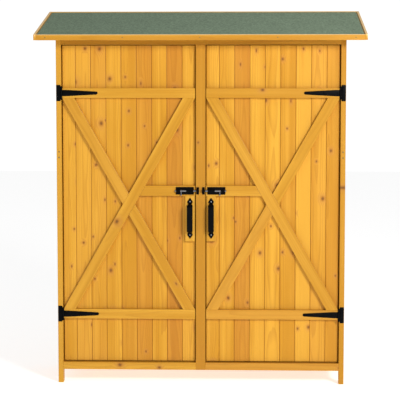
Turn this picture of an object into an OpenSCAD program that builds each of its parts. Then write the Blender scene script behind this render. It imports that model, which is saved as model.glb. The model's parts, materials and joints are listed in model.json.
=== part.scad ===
// Two-door timber garden store with a single-pitch felted roof.
// Millimetres. X to the right, Y to the back, Z up. The origin is on the ground,
// under the middle of the roof's outline.

/* [Roof] */
// Width across the two side trims
roof_w = 1420; // [1380:5:1500]
// Depth from the front fascia to the rear fascia
roof_d = 495; // [480:5:520]
// Height of the roof surface at the front edge
eaves_h = 1521; // [1515:1:1540]
// Height of the roof surface at the rear edge
ridge_h = 1641.5; // [1630:0.5:1660]
// Overhang in front of the door frame
front_overhang = 90; // [70:1:100]
// Thickness of the deck boards
deck_t = 12; // [10:1:14]
// Number of deck boards, laid from front to back
deck_boards = 13; // [10:1:16]
// Thickness of the roofing felt
felt_t = 2; // [1.5:0.5:3]
// Thickness of the fascias and side trims
trim_t = 10; // [8:1:12]
// How far the side and rear trims stand above the felt
trim_proud = 2; // [1:0.5:3]

/* [Body] */
// Width across the outer faces of the posts
body_w = 1254; // [1240:2:1260]
// Depth from the front of the posts to the back boards' outer face
body_d = 390; // [380:1:395]
// Width of a corner post, seen from the front
post_w = 22; // [22:1:26]
// Depth of a corner post, front to back
post_d = 38; // [36:1:42]
// Width of the centre post between the doors
centre_w = 42; // [38:1:46]
// Height of the underside of the bottom rails
rail_z = 59.5; // [50:0.5:65]
// Height of the bottom rails
rail_h = 32.5; // [30:0.5:34]
// Depth of the front rails and the centre post
rail_d = 30; // [30:1:32]
// Thickness of the back boards
back_t = 10; // [8:1:12]
// Thickness of the side boards
side_t = 8; // [7:1:8]

/* [Doors] */
// Height of the underside of the doors
door_z = 95.5; // [94:0.5:98]
// Height of the top of the doors
door_top = 1480.5; // [1478:0.5:1480.5]
// Gap round each door
door_gap = 3.5; // [3:0.1:4]
// Thickness of the door boards
board_t = 10; // [9:1:11]
// Width of a full door board
board_w = 66.3; // [64:0.1:67]
// Thickness of the ledges and braces
ledge_t = 18; // [16:1:20]
// Height of the top and bottom ledges
ledge_h = 42; // [40:1:45]
// Underside of the top ledge
top_ledge_z = 1252.5; // [1240:0.5:1260]
// Underside of the middle ledge
mid_ledge_z = 827; // [820:1:830]
// Height of the middle ledge
mid_ledge_h = 45; // [44:1:46]
// Underside of the bottom ledge
low_ledge_z = 286; // [280:1:290]
// Width of the braces
brace_w = 46; // [42:1:50]
// Height of the block behind each handle
block_h = 198; // [190:1:205]
// Width of the block behind each handle
block_w = 41; // [40:1:44]

/* [Hinges and bolts] */
// Length of a hinge strap, from the pin
strap_len = 157; // [140:1:170]
// Height of a hinge strap at the pin
strap_h = 27; // [26:1:28]
// Height of a hinge leaf
leaf_h = 70; // [66:1:74]
// Thickness of the steel plate
plate_t = 2; // [1.5:0.5:2]
// Outer radius of a hinge knuckle
knuckle_r = 4; // [3.8:0.1:4.2]
// Radius of a hinge pin
pin_r = 2.2; // [2:0.1:2.3]
// Length of a bolt plate
bolt_plate_w = 79; // [79:1:80]
// Height of a bolt plate
bolt_plate_h = 33; // [32:1:34]
// Radius of a bolt rod
rod_r = 4; // [3.8:0.1:4.2]
// Travel of a bolt rod
rod_travel = 18; // [16:1:19]
// Overall length of a pull handle
handle_h = 178; // [170:1:180]
// Distance between a handle's screws
handle_pitch = 145; // [140:1:146]

/* [Inside] */
// Thickness of the shelves
shelf_t = 15; // [12:1:18]
// Thickness of the dividing panel
divider_t = 12; // [10:1:14]
// Heights of the tops of the shelves
shelf_tops = [450, 790, 1130];

/* [Hidden] */

// Colours
timber = [0.88, 0.62, 0.26];
pale_timber = [0.93, 0.68, 0.32];
shade_timber = [0.80, 0.54, 0.22];
felt_green = [0.45, 0.51, 0.44];
black_steel = [0.07, 0.07, 0.08];
bright_steel = [0.74, 0.75, 0.77];

// Roof planes
front_y = -roof_d / 2;
rear_y = roof_d / 2;
pitch = (ridge_h - eaves_h) / roof_d;
roof_in = roof_w / 2 - trim_t;
under_deck = felt_t + deck_t;
batten_t = 10;
batten_w = 40;
fascia_h = 23;
rear_fascia_h = 44;
side_trim_h = fascia_h + trim_proud;

// Body planes
post_y = front_y + front_overhang;
back_y = post_y + body_d;
rear_post_y = back_y - back_t - post_d;
half_w = body_w / 2;
post_in = half_w - post_w;
frame_back = post_y + rail_d;
rail_t = 22;
rear_rail_y = back_y - back_t - rail_t;
side_rail_x = half_w - side_t - rail_t;
header_z = 1482;
mid_rail_z = 985;
mid_rail_h = 42;
rail_screw_z = 12.5;
top_rail_h = 34;
floor_t = 12;
floor_z = rail_z + rail_h;
floor_top = floor_z + floor_t;
floor_x = post_in - 0.5;

// Doors, worked out for the left door and mirrored for the right
door_out = -(post_in - door_gap);
door_in = -(centre_w / 2 + 3);
door_w = door_in - door_out;
board_y = post_y + ledge_t;
full_boards = 7;
edge_board_w = (door_w - full_boards * board_w) / 2;
brace_low = low_ledge_z + ledge_h;
brace_high = top_ledge_z;
brace_cx = (door_out + door_in) / 2;
brace_cz = (brace_low + brace_high) / 2;
brace_rise = brace_high - brace_low;
brace_angle = atan2(brace_rise, door_w) + asin(brace_w / norm([brace_rise, door_w]));
block_x = door_in - 1.5 - block_w;
block_z = mid_ledge_z - block_h;

// Hinges
pin_x = door_out - door_gap / 2;
pin_y = post_y - knuckle_r;
plate_y = post_y - plate_t;
hinge_zs = [low_ledge_z + ledge_h / 2, top_ledge_z + ledge_h / 2];
strap_knuckle = strap_h / 2;
leaf_knuckle = strap_knuckle + 13.5;
end_gap = 0.3;
leaf_bore = pin_r + 0.05;
strap_bore = pin_r + 0.08;
strap_tip_r = 6.5;
leaf_screw_z = 23.5;
strap_screws = [14, 72, 140];

// Bolts
bolt_z = mid_ledge_z + mid_ledge_h / 2 + 0.5;
bolt_out = door_in - 5 - bolt_plate_w;
rod_y = plate_y - rod_r - 1;
guide_r = rod_r + 2.5;
outer_guide = [bolt_out + 2, bolt_out + 20];
guide_gap = rod_travel + 7.5;
inner_guide = [outer_guide[1] + guide_gap, bolt_out + bolt_plate_w - 2];
rod_tip = -centre_w / 2 + 1.5;
rod_tail = bolt_out - 4;
collar_w = 6;
collar_x = outer_guide[1] + 0.75;
neck_r = rod_r - 1;
collar_r = rod_r + 0.6;
lever_len = 18;
lever_r = 1.8;
knob_r = 3.2;
keeper_x = 6.5;
keeper_w = 12;
keeper_h = 32;
bolt_screw_x = [bolt_out + 6, bolt_out + bolt_plate_w - 6];
bolt_screw_z = 12;

// Handles
handle_x = block_x + block_w / 2;
handle_z = block_z + block_h / 2 + 2;
grip_out = 34;
grip_t = 6;

// Fasteners
screw_head_r = 3.2;
screw_head_h = 1.2;
screw_r = 1.6;
screw_hole_r = 1.8;
nail_head_r = 2.4;
nail_head_h = 0.8;
nail_r = 1.2;
strap_screw_len = 16;
leaf_screw_len = 20;
keeper_screw_len = 18;
rail_screw_len = post_d + 25;
handle_foot_t = 3;
handle_screw_len = 17;
nail_len = 25;
nail_pitch = 330;
board_joint = 0.4;
plank_gap = 0.6;
stop_low = 1462;
stop_high = 1500;
eps = 0.01;

// Height of the roof surface at a given depth
function roof_top(y) = eaves_h + (y - front_y) * pitch;
// Height of the underside of the deck at a given depth
function deck_under(y) = roof_top(y) - under_deck;

// A rectangle from lo to hi with small chamfered corners
module eased(lo, hi, ease) {
    polygon([
        [lo[0] + ease, lo[1]], [hi[0] - ease, lo[1]],
        [hi[0], lo[1] + ease], [hi[0], hi[1] - ease],
        [hi[0] - ease, hi[1]], [lo[0] + ease, hi[1]],
        [lo[0], hi[1] - ease], [lo[0], lo[1] + ease]
    ]);
}

// Planed timber standing upright, with eased long edges
module upright(lo, hi, ease = 1) {
    translate([0, 0, lo[2]])
        linear_extrude(hi[2] - lo[2])
            eased([lo[0], lo[1]], [hi[0], hi[1]], ease);
}

// Planed timber lying from left to right
module crossways(lo, hi, ease = 1) {
    translate([lo[0], 0, 0])
        rotate([90, 0, 90])
            linear_extrude(hi[0] - lo[0])
                eased([lo[1], lo[2]], [hi[1], hi[2]], ease);
}

// Planed timber lying from front to back
module lengthways(lo, hi, ease = 1) {
    translate([0, hi[1], 0])
        rotate([90, 0, 0])
            linear_extrude(hi[1] - lo[1])
                eased([lo[0], lo[2]], [hi[0], hi[2]], ease);
}

// A flat outline drawn in X and Z, given a thickness from y towards the back
module facing(y, t) {
    translate([0, y + t, 0])
        rotate([90, 0, 0])
            linear_extrude(t)
                children();
}

// An outline drawn in Y and Z, carried from x0 to x1
module across(x0, x1) {
    translate([x0, 0, 0])
        rotate([90, 0, 90])
            linear_extrude(x1 - x0)
                children();
}

// A layer that follows the roof's slope, a given drop below its surface
module roof_layer(x0, x1, y0, y1, drop, t) {
    across(x0, x1)
        polygon([
            [y0, roof_top(y0) - drop - t], [y1, roof_top(y1) - drop - t],
            [y1, roof_top(y1) - drop], [y0, roof_top(y0) - drop]
        ]);
}

// Everything below the deck, used to cut timber to the roof's slope
module below_deck() {
    intersection() {
        children();
        across(-roof_w, roof_w)
            polygon([
                [front_y, 0], [rear_y, 0],
                [rear_y, deck_under(rear_y)], [front_y, deck_under(front_y)]
            ]);
    }
}

// The left side as it stands, or the right side as its mirror image
module on_side(side) {
    if (side == "left") children();
    else mirror([1, 0, 0]) children();
}

// The outline of one tongued and grooved board, seen on end
module board_profile(w, t, tongue, groove) {
    vee = 1.6;
    key = t * 0.34;
    reach = 4.5;
    slack = 0.3;
    right = tongue ? [
        [w, (t - key) / 2], [w + reach, (t - key) / 2],
        [w + reach, (t + key) / 2], [w, (t + key) / 2]
    ] : [];
    left = groove ? [
        [0, (t + key) / 2 + slack], [reach + 1, (t + key) / 2 + slack],
        [reach + 1, (t - key) / 2 - slack], [0, (t - key) / 2 - slack]
    ] : [];
    polygon(concat(
        [[vee, 0], [w - vee, 0], [w, vee]], right,
        [[w, t], [0, t]], left, [[0, vee]]
    ));
}

// A row of upright boards starting at x0, with their grooved faces to the front
module board_row(widths, x0, y0, t, z0, z1) {
    last = len(widths) - 1;
    for (i = [0:last]) {
        before = i == 0 ? 0 : sum_to(widths, i - 1);
        translate([x0 + before, y0, z0])
            linear_extrude(z1 - z0)
                board_profile(widths[i] - board_joint, t, i < last, i > 0);
    }
}

// Sum of the first entries of a list, up to and including entry n
function sum_to(list, n) = n == 0 ? list[0] : list[n] + sum_to(list, n - 1);

// One diagonal of a door, whose outer edges pass through the corners between the ledges
module brace_strip(rising, spread = 0) {
    translate([brace_cx, brace_cz])
        rotate(rising ? brace_angle : -brace_angle)
            square([norm([brace_rise, door_w]) * 2, brace_w + spread], center = true);
}

// The band between the top and bottom ledges, wider than the door so that only its level edges cut
module brace_field() {
    translate([door_out - brace_w, brace_low])
        square([door_w + 2 * brace_w, brace_rise]);
}

// A pan-headed screw driven to the back, its head resting on the plane y
module screw(x, y, z, length) {
    translate([x, y, z])
        rotate([90, 0, 0])
            cylinder(h = screw_head_h, r = screw_head_r, $fn = 32);
    translate([x, y + length, z])
        rotate([90, 0, 0])
            cylinder(h = length + screw_head_h / 2, r = screw_r, $fn = 24);
}

// A round hole through a plate that lies on the door frame's front plane
module plate_hole(x, z) {
    translate([x, post_y + 1, z])
        rotate([90, 0, 0])
            cylinder(h = plate_t + 2, r = screw_hole_r, $fn = 24);
}

module corner_post(x0, y0) {
    color(timber)
        below_deck()
            upright([x0, y0, 0], [x0 + post_w, y0 + post_d, ridge_h]);
}

module front_left_post() {
    corner_post(-half_w, post_y);
}

module front_right_post() {
    corner_post(post_in, post_y);
}

module rear_left_post() {
    corner_post(-half_w, rear_post_y);
}

module rear_right_post() {
    corner_post(post_in, rear_post_y);
}

module header_rail() {
    color(timber)
        below_deck()
            crossways([-post_in, post_y, header_z], [post_in, frame_back, ridge_h]);
}

module bottom_rail(side) {
    color(timber)
        on_side(side)
            crossways([-post_in, post_y, rail_z], [-centre_w / 2, frame_back, rail_z + rail_h]);
}

module centre_post() {
    color(pale_timber)
        upright([-centre_w / 2, post_y, rail_z], [centre_w / 2, frame_back, header_z]);
}

module door_stop_strips() {
    strip_t = 14;
    color(shade_timber)
        for (side = ["left", "right"])
            on_side(side)
                crossways([1 - side_rail_x, frame_back, stop_low],
                          [-divider_t / 2 - 0.3, frame_back + strip_t, stop_high]);
}

module rear_rails() {
    y1 = rear_rail_y + rail_t;
    color(shade_timber) {
        crossways([-post_in, rear_rail_y, rail_z], [post_in, y1, rail_z + rail_h]);
        crossways([-post_in, rear_rail_y, mid_rail_z], [post_in, y1, mid_rail_z + mid_rail_h]);
        below_deck()
            crossways([-post_in, rear_rail_y, deck_under(rear_rail_y) - mid_rail_h],
                      [post_in, y1, ridge_h]);
    }
}

module side_rails(side) {
    y0 = post_y + post_d;
    x0 = -side_rail_x - rail_t;
    color(shade_timber)
        on_side(side) {
            lengthways([x0, y0, rail_z], [x0 + rail_t, rear_post_y, rail_z + rail_h]);
            lengthways([x0, y0, mid_rail_z], [x0 + rail_t, rear_post_y, mid_rail_z + mid_rail_h]);
            roof_layer(x0, x0 + rail_t, y0, rear_post_y, under_deck, top_rail_h);
        }
}

module floor_bearer() {
    color(shade_timber)
        crossways([-side_rail_x, frame_back, rail_z], [side_rail_x, frame_back + rail_t, rail_z + rail_h]);
}

module floor_boards() {
    count = 12;
    pitch_x = 2 * floor_x / count;
    color(shade_timber)
        for (i = [0:count - 1])
            lengthways([-floor_x + i * pitch_x, frame_back, floor_z],
                       [-floor_x + (i + 1) * pitch_x - plank_gap, back_y - back_t - 0.3, floor_top], 0.6);
}

module side_boards(side) {
    count = 4;
    y0 = post_y + post_d + 0.2;
    span = rear_post_y - 0.2 - y0;
    widths = [for (i = [1:count]) span / count];
    color(timber)
        on_side(side)
            below_deck()
                translate([-half_w, y0, 0])
                    mirror([1, -1, 0])
                        board_row(widths, 0, 0, side_t, rail_z, ridge_h);
}

module back_boards() {
    count = 19;
    widths = [for (i = [1:count]) (body_w + board_joint) / count];
    color(timber)
        below_deck()
            translate([0, back_y, 0])
                rotate(180)
                    board_row(widths, -half_w, 0, back_t, rail_z, ridge_h);
}

module roof_deck_boards() {
    w = 2 * roof_in / deck_boards;
    color(shade_timber)
        for (i = [0:deck_boards - 1])
            roof_layer(-roof_in + i * w, -roof_in + (i + 1) * w - plank_gap,
                       front_y + trim_t, rear_y - trim_t, felt_t, deck_t);
}

module roof_batten() {
    color(shade_timber)
        roof_layer(-roof_in, roof_in, front_y + trim_t, front_y + trim_t + batten_w,
                   under_deck, batten_t);
}

module nail_holes(y) {
    for (x = nail_xs())
        translate([x, y + trim_t + 1, roof_top(y) - fascia_h / 2])
            rotate([90, 0, 0])
                cylinder(h = trim_t + 2, r = nail_r + 0.05, $fn = 24);
}

// Places of the nails along a fascia
function nail_xs() = [for (i = [-2:2]) i * nail_pitch];

module front_fascia() {
    color(pale_timber)
        difference() {
            across(-roof_in, roof_in)
                polygon([
                    [front_y, eaves_h - fascia_h], [front_y + trim_t, eaves_h - fascia_h],
                    [front_y + trim_t, roof_top(front_y + trim_t)], [front_y, eaves_h]
                ]);
            nail_holes(front_y);
        }
}

module rear_fascia() {
    y0 = rear_y - trim_t;
    color(pale_timber)
        difference() {
            across(-roof_in, roof_in)
                polygon([
                    [y0, ridge_h - rear_fascia_h], [rear_y, ridge_h - rear_fascia_h],
                    [rear_y, ridge_h + trim_proud], [y0, roof_top(y0) + trim_proud]
                ]);
            nail_holes(y0);
        }
}

module side_trims() {
    color(pale_timber)
        for (side = ["left", "right"])
            on_side(side)
                roof_layer(-roof_w / 2, -roof_in, front_y, rear_y, -trim_proud, side_trim_h);
}

module roofing_felt() {
    color(felt_green)
        roof_layer(-roof_in, roof_in, front_y + trim_t, rear_y - trim_t, 0, felt_t);
}

// A nail driven along Y, its head standing on the plane y and facing out
module nail(x, y, z, out) {
    translate([x, y, z])
        rotate([out * 90, 0, 0]) {
            cylinder(h = nail_head_h, r = nail_head_r, $fn = 32);
            translate([0, 0, -nail_len])
                cylinder(h = nail_len + nail_head_h / 2, r = nail_r, $fn = 24);
        }
}

module roof_nails() {
    color(bright_steel)
        for (x = nail_xs()) {
            nail(x, front_y, eaves_h - fascia_h / 2, 1);
            nail(x, rear_y, roof_top(rear_y - trim_t) - fascia_h / 2, -1);
        }
}

module divider_panel() {
    color(shade_timber)
        below_deck()
            upright([-divider_t / 2, frame_back, floor_top], [divider_t / 2, rear_rail_y, ridge_h], 0.6);
}

module shelves() {
    y0 = post_y + post_d + 4;
    color(shade_timber)
        for (top = shelf_tops)
            crossways([-half_w + side_t + 0.5, y0, top - shelf_t],
                      [-divider_t / 2 - 0.3, rear_post_y - 2, top], 0.8);
}

module shelf_cleats() {
    cleat_h = 20;
    y0 = post_y + post_d + 4;
    color(shade_timber)
        for (top = shelf_tops)
            for (x0 = [-side_rail_x - rail_t, -divider_t / 2 - rail_t])
                lengthways([x0, y0, top - shelf_t - cleat_h], [x0 + rail_t, rear_post_y - 2, top - shelf_t]);
}

module hinge_leaf(z) {
    clear_x = pin_x - knuckle_r - end_gap;
    difference() {
        union() {
            facing(plate_y, plate_t)
                eased([-half_w + 1, z - leaf_h / 2], [clear_x, z + leaf_h / 2], 3);
            for (s = [-1, 1]) {
                low = s > 0 ? strap_knuckle + end_gap : -leaf_knuckle;
                translate([clear_x - 1, plate_y, z + low])
                    cube([pin_x - clear_x + 1, plate_t, leaf_knuckle - strap_knuckle - end_gap]);
                translate([pin_x, pin_y, z + low])
                    cylinder(h = leaf_knuckle - strap_knuckle - end_gap, r = knuckle_r, $fn = 48);
            }
        }
        translate([pin_x, pin_y, z - leaf_knuckle - 1])
            cylinder(h = 2 * leaf_knuckle + 2, r = leaf_bore, $fn = 48);
        for (s = [-1, 1])
            plate_hole(-half_w + post_w / 2, z + s * leaf_screw_z);
    }
}

module hinge_leaves() {
    color(black_steel)
        for (side = ["left", "right"])
            on_side(side)
                for (z = hinge_zs)
                    hinge_leaf(z);
}

module hinge_pin(z) {
    head_h = 2.5;
    head_r = 3.4;
    reach = leaf_knuckle + 0.05;
    translate([pin_x, pin_y, z - reach])
        cylinder(h = 2 * reach, r = pin_r, $fn = 48);
    for (low = [-reach - head_h, reach])
        translate([pin_x, pin_y, z + low])
            cylinder(h = head_h, r = head_r, $fn = 48);
}

module hinge_pins() {
    color(black_steel)
        for (side = ["left", "right"])
            on_side(side)
                for (z = hinge_zs)
                    hinge_pin(z);
}

module hinge_strap(z) {
    tip_x = pin_x + strap_len - strap_tip_r;
    difference() {
        union() {
            facing(plate_y, plate_t)
                union() {
                    polygon([
                        [pin_x, z - strap_knuckle], [pin_x + 20, z - strap_knuckle],
                        [tip_x, z - strap_tip_r], [tip_x, z + strap_tip_r],
                        [pin_x + 20, z + strap_knuckle], [pin_x, z + strap_knuckle]
                    ]);
                    translate([tip_x, z])
                        circle(r = strap_tip_r, $fn = 48);
                }
            translate([pin_x, pin_y, z - strap_knuckle])
                cylinder(h = strap_h, r = knuckle_r, $fn = 48);
        }
        translate([pin_x, pin_y, z - strap_knuckle - 1])
            cylinder(h = strap_h + 2, r = strap_bore, $fn = 48);
        for (d = strap_screws)
            plate_hole(pin_x + d, z);
    }
}

module hinge_straps(side) {
    color(black_steel)
        on_side(side)
            for (z = hinge_zs)
                hinge_strap(z);
}

module bolt_keeper() {
    wall = 2;
    slot = rod_r + 0.7;
    depth = post_y - (rod_y - slot - wall);
    translate([-keeper_x - keeper_w, 0, 0])
        difference() {
            union() {
                translate([0, plate_y, bolt_z - keeper_h / 2])
                    cube([keeper_w, plate_t, keeper_h]);
                translate([0, post_y - depth, bolt_z - slot - wall])
                    cube([keeper_w, depth, 2 * (slot + wall)]);
            }
            translate([-1, rod_y - slot, bolt_z - slot])
                cube([keeper_w + 2, plate_y - rod_y + slot, 2 * slot]);
            for (s = [-1, 1])
                plate_hole(keeper_w / 2, bolt_z + s * bolt_screw_z);
        }
}

module bolt_keepers() {
    color(black_steel)
        for (side = ["left", "right"])
            on_side(side)
                bolt_keeper();
}

module frame_screws() {
    color(black_steel)
        for (side = ["left", "right"])
            on_side(side) {
                for (z = hinge_zs)
                    for (s = [-1, 1])
                        screw(-half_w + post_w / 2, plate_y, z + s * leaf_screw_z, leaf_screw_len);
                for (s = [-1, 1])
                    screw(-keeper_x - keeper_w / 2, plate_y, bolt_z + s * bolt_screw_z, keeper_screw_len);
            }
}

module rail_screws() {
    z = mid_rail_z + mid_rail_h / 2;
    color(bright_steel)
        for (side = ["left", "right"])
            on_side(side)
                for (s = [-1, 1])
                    screw(-half_w + post_w / 2, post_y, z + s * rail_screw_z, rail_screw_len);
}

module door_boards(side) {
    widths = concat([edge_board_w], [for (i = [1:full_boards]) board_w], [edge_board_w + board_joint]);
    color(timber)
        on_side(side)
            board_row(widths, door_out, board_y, board_t, door_z, door_top);
}

module door_ledge(side, z, h) {
    color(pale_timber)
        on_side(side)
            crossways([door_out, post_y, z], [door_in, board_y, z + h]);
}

module door_middle_ledge(side) {
    start_x = brace_cx + (mid_ledge_z + mid_ledge_h / 2 - brace_cz) / tan(brace_angle);
    color(pale_timber)
        on_side(side)
            facing(post_y, ledge_t)
                difference() {
                    translate([start_x, mid_ledge_z])
                        square([door_in - start_x, mid_ledge_h]);
                    brace_strip(true, 0.4);
                }
}

module door_long_brace(side) {
    color(pale_timber)
        on_side(side)
            facing(post_y, ledge_t)
                intersection() {
                    brace_strip(true);
                    brace_field();
                }
}

module door_short_braces(side) {
    color(pale_timber)
        on_side(side)
            facing(post_y, ledge_t)
                difference() {
                    intersection() {
                        brace_strip(false);
                        brace_field();
                    }
                    brace_strip(true, 0.4);
                }
}

module handle_block(side) {
    color(pale_timber)
        on_side(side)
            upright([block_x, post_y, block_z], [block_x + block_w, board_y, mid_ledge_z]);
}

// Front view of a pull handle: pointed end plates, narrow necks and a broad grip
module handle_front() {
    half = handle_h / 2;
    plate = handle_pitch / 2;
    side = [[0, half], [12.5, plate], [7.5, plate - 10], [11, plate - 16], [12.5, 40]];
    flip = [for (i = [len(side) - 1:-1:0]) [side[i][0], -side[i][1]]];
    right = concat(side, flip);
    left = [for (i = [len(right) - 2:-1:1]) [-right[i][0], right[i][1]]];
    polygon(concat(right, left));
}

// Side view of a pull handle, standing off the plane z = 0 towards -y
module handle_side() {
    half = handle_h / 2;
    foot = handle_pitch / 2 - 6;
    bend = foot - 14;
    inner = grip_out - grip_t;
    polygon([
        [0, half], [-handle_foot_t, half], [-handle_foot_t, foot + 2], [-grip_out + 3, bend + 4],
        [-grip_out, bend - 4], [-grip_out, -bend + 4], [-grip_out + 3, -bend - 4],
        [-handle_foot_t, -foot - 2], [-handle_foot_t, -half], [0, -half], [0, -foot + 6],
        [-inner + 2, -bend + 1], [-inner, -bend + 7], [-inner, bend - 7],
        [-inner + 2, bend - 1], [0, foot - 6]
    ]);
}

module pull_handle(side) {
    color(black_steel)
        on_side(side)
            difference() {
                translate([handle_x, post_y, handle_z])
                    intersection() {
                        facing(-grip_out - 1, grip_out + 2)
                            handle_front();
                        across(-20, 20)
                            handle_side();
                    }
                for (s = [-1, 1])
                    translate([handle_x, post_y + 1, handle_z + s * handle_pitch / 2])
                        rotate([90, 0, 0])
                            cylinder(h = 6, r = screw_hole_r, $fn = 24);
            }
}

module bolt_guide(x0, x1) {
    translate([x0, rod_y, bolt_z - guide_r])
        cube([x1 - x0, plate_y - rod_y + eps, 2 * guide_r]);
    translate([x0, rod_y, bolt_z])
        rotate([0, 90, 0])
            cylinder(h = x1 - x0, r = guide_r, $fn = 48);
}

module bolt_plate(side) {
    color(black_steel)
        on_side(side)
            difference() {
                union() {
                    facing(plate_y, plate_t)
                        eased([bolt_out, bolt_z - bolt_plate_h / 2],
                              [bolt_out + bolt_plate_w, bolt_z + bolt_plate_h / 2], 2);
                    bolt_guide(outer_guide[0], outer_guide[1]);
                    bolt_guide(inner_guide[0], inner_guide[1]);
                }
                translate([bolt_out - 1, rod_y, bolt_z])
                    rotate([0, 90, 0])
                        cylinder(h = bolt_plate_w + 2, r = rod_r + 0.08, $fn = 48);
                for (x = bolt_screw_x)
                    for (s = [-1, 1])
                        plate_hole(x, bolt_z + s * bolt_screw_z);
            }
}

module door_screws(side) {
    color(black_steel)
        on_side(side) {
            for (z = hinge_zs)
                for (d = strap_screws)
                    screw(pin_x + d, plate_y, z, strap_screw_len);
            for (x = bolt_screw_x)
                for (s = [-1, 1])
                    screw(x, plate_y, bolt_z + s * bolt_screw_z, strap_screw_len);
        }
}

module handle_screws(side) {
    color(bright_steel)
        on_side(side)
            for (s = [-1, 1])
                screw(handle_x, post_y - handle_foot_t, handle_z + s * handle_pitch / 2, handle_screw_len);
}

module bolt_rod(side) {
    neck = collar_x - 0.05;
    color(bright_steel)
        on_side(side)
            translate([0, rod_y, bolt_z])
                rotate([0, 90, 0]) {
                    translate([0, 0, rod_tail])
                        cylinder(h = neck - rod_tail, r = rod_r, $fn = 48);
                    translate([0, 0, neck - eps])
                        cylinder(h = collar_w + 0.1 + 2 * eps, r = neck_r, $fn = 48);
                    translate([0, 0, neck + collar_w + 0.1])
                        cylinder(h = rod_tip - neck - collar_w - 0.1, r = rod_r, $fn = 48);
                }
}

module bolt_lever(side) {
    color(bright_steel)
        on_side(side)
            translate([collar_x, rod_y, bolt_z])
                difference() {
                    union() {
                        rotate([0, 90, 0])
                            cylinder(h = collar_w, r = collar_r, $fn = 48);
                        translate([collar_w / 2, 0, -lever_len])
                            cylinder(h = lever_len, r = lever_r, $fn = 32);
                        translate([collar_w / 2, 0, -lever_len])
                            sphere(r = knob_r, $fn = 48);
                    }
                    translate([-1, 0, 0])
                        rotate([0, 90, 0])
                            cylinder(h = collar_w + 2, r = neck_r + 0.08, $fn = 48);
                }
}

front_left_post();
front_right_post();
rear_left_post();
rear_right_post();
header_rail();
bottom_rail("left");  // left_bottom_rail
bottom_rail("right");  // right_bottom_rail
centre_post();
door_stop_strips();
rear_rails();
side_rails("left");  // left_side_rails
side_rails("right");  // right_side_rails
floor_bearer();
floor_boards();
side_boards("left");  // left_side_boards
side_boards("right");  // right_side_boards
back_boards();
roof_deck_boards();
roof_batten();
front_fascia();
rear_fascia();
side_trims();
roofing_felt();
roof_nails();
divider_panel();
shelves();
shelf_cleats();
hinge_leaves();
hinge_pins();
bolt_keepers();
frame_screws();
rail_screws();
door_boards("left");  // left_door_boards
door_ledge("left", top_ledge_z, ledge_h);  // left_door_top_ledge
door_middle_ledge("left");  // left_door_middle_ledge
door_ledge("left", low_ledge_z, ledge_h);  // left_door_bottom_ledge
door_long_brace("left");  // left_door_long_brace
door_short_braces("left");  // left_door_short_braces
handle_block("left");  // left_handle_block
pull_handle("left");  // left_handle
hinge_straps("left");  // left_hinge_straps
bolt_plate("left");  // left_bolt_plate
door_screws("left");  // left_door_screws
handle_screws("left");  // left_handle_screws
bolt_rod("left");  // left_bolt_rod
bolt_lever("left");  // left_bolt_lever
door_boards("right");  // right_door_boards
door_ledge("right", top_ledge_z, ledge_h);  // right_door_top_ledge
door_middle_ledge("right");  // right_door_middle_ledge
door_ledge("right", low_ledge_z, ledge_h);  // right_door_bottom_ledge
door_long_brace("right");  // right_door_long_brace
door_short_braces("right");  // right_door_short_braces
handle_block("right");  // right_handle_block
pull_handle("right");  // right_handle
hinge_straps("right");  // right_hinge_straps
bolt_plate("right");  // right_bolt_plate
door_screws("right");  // right_door_screws
handle_screws("right");  // right_handle_screws
bolt_rod("right");  // right_bolt_rod
bolt_lever("right");  // right_bolt_lever
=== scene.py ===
import json
import math
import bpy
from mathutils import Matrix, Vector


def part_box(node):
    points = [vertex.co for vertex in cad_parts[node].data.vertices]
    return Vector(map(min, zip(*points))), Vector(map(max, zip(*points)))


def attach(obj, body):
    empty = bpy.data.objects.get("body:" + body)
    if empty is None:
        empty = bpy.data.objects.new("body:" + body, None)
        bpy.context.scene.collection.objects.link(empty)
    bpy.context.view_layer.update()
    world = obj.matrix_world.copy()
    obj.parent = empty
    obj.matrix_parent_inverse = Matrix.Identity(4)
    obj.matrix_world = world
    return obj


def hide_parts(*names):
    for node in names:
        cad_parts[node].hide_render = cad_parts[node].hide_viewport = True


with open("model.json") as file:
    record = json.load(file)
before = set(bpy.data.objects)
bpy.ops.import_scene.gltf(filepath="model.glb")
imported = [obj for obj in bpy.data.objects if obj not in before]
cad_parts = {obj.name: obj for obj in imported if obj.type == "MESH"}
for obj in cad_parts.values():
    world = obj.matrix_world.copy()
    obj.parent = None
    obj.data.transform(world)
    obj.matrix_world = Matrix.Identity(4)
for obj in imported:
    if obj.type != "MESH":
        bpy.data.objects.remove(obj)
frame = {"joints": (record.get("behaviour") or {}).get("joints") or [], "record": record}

import zlib

import bpy
import numpy as np

bl_info = {
    "name": "Garden Store",
    "version": (1, 0, 0),
    "blender": (4, 5, 0),
    "location": "View3D > Sidebar > Garden Store",
    "description": "Builds the timber, felt and hardware of a two-door garden store round its packed model",
    "category": "Object",
}

MM = 0.001
X, Y, Z = 0, 1, 2
RIGHT = np.array([1.0, 0.0, 0.0])
BACK = np.array([0.0, 1.0, 0.0])
UP = np.array([0.0, 0.0, 1.0])
SIDES = {"left": 1.0, "right": -1.0}
RECORD = frame["record"]
BODY_OF = {node: body for body, nodes in RECORD["behaviour"]["bodies"].items() for node in nodes}
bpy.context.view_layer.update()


def box(node):
    """Lowest and highest corner of a node, as arrays."""
    lo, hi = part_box(node)
    return np.array(lo), np.array(hi)


FELT_LO, FELT_HI = box("roofing_felt")
FELT_T = 2 * MM
SLOPE = (FELT_HI[Z] - FELT_LO[Z] - FELT_T) / (FELT_HI[Y] - FELT_LO[Y])


# ---------------------------------------------------------------- sizes and colours a user would change

def length(description, default):
    return bpy.props.FloatProperty(description=description, default=default, subtype="DISTANCE",
                                   unit="LENGTH", precision=4)


def colour(description, default):
    return bpy.props.FloatVectorProperty(description=description, default=default, subtype="COLOR", size=3,
                                         min=0.0, max=1.0)


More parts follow.
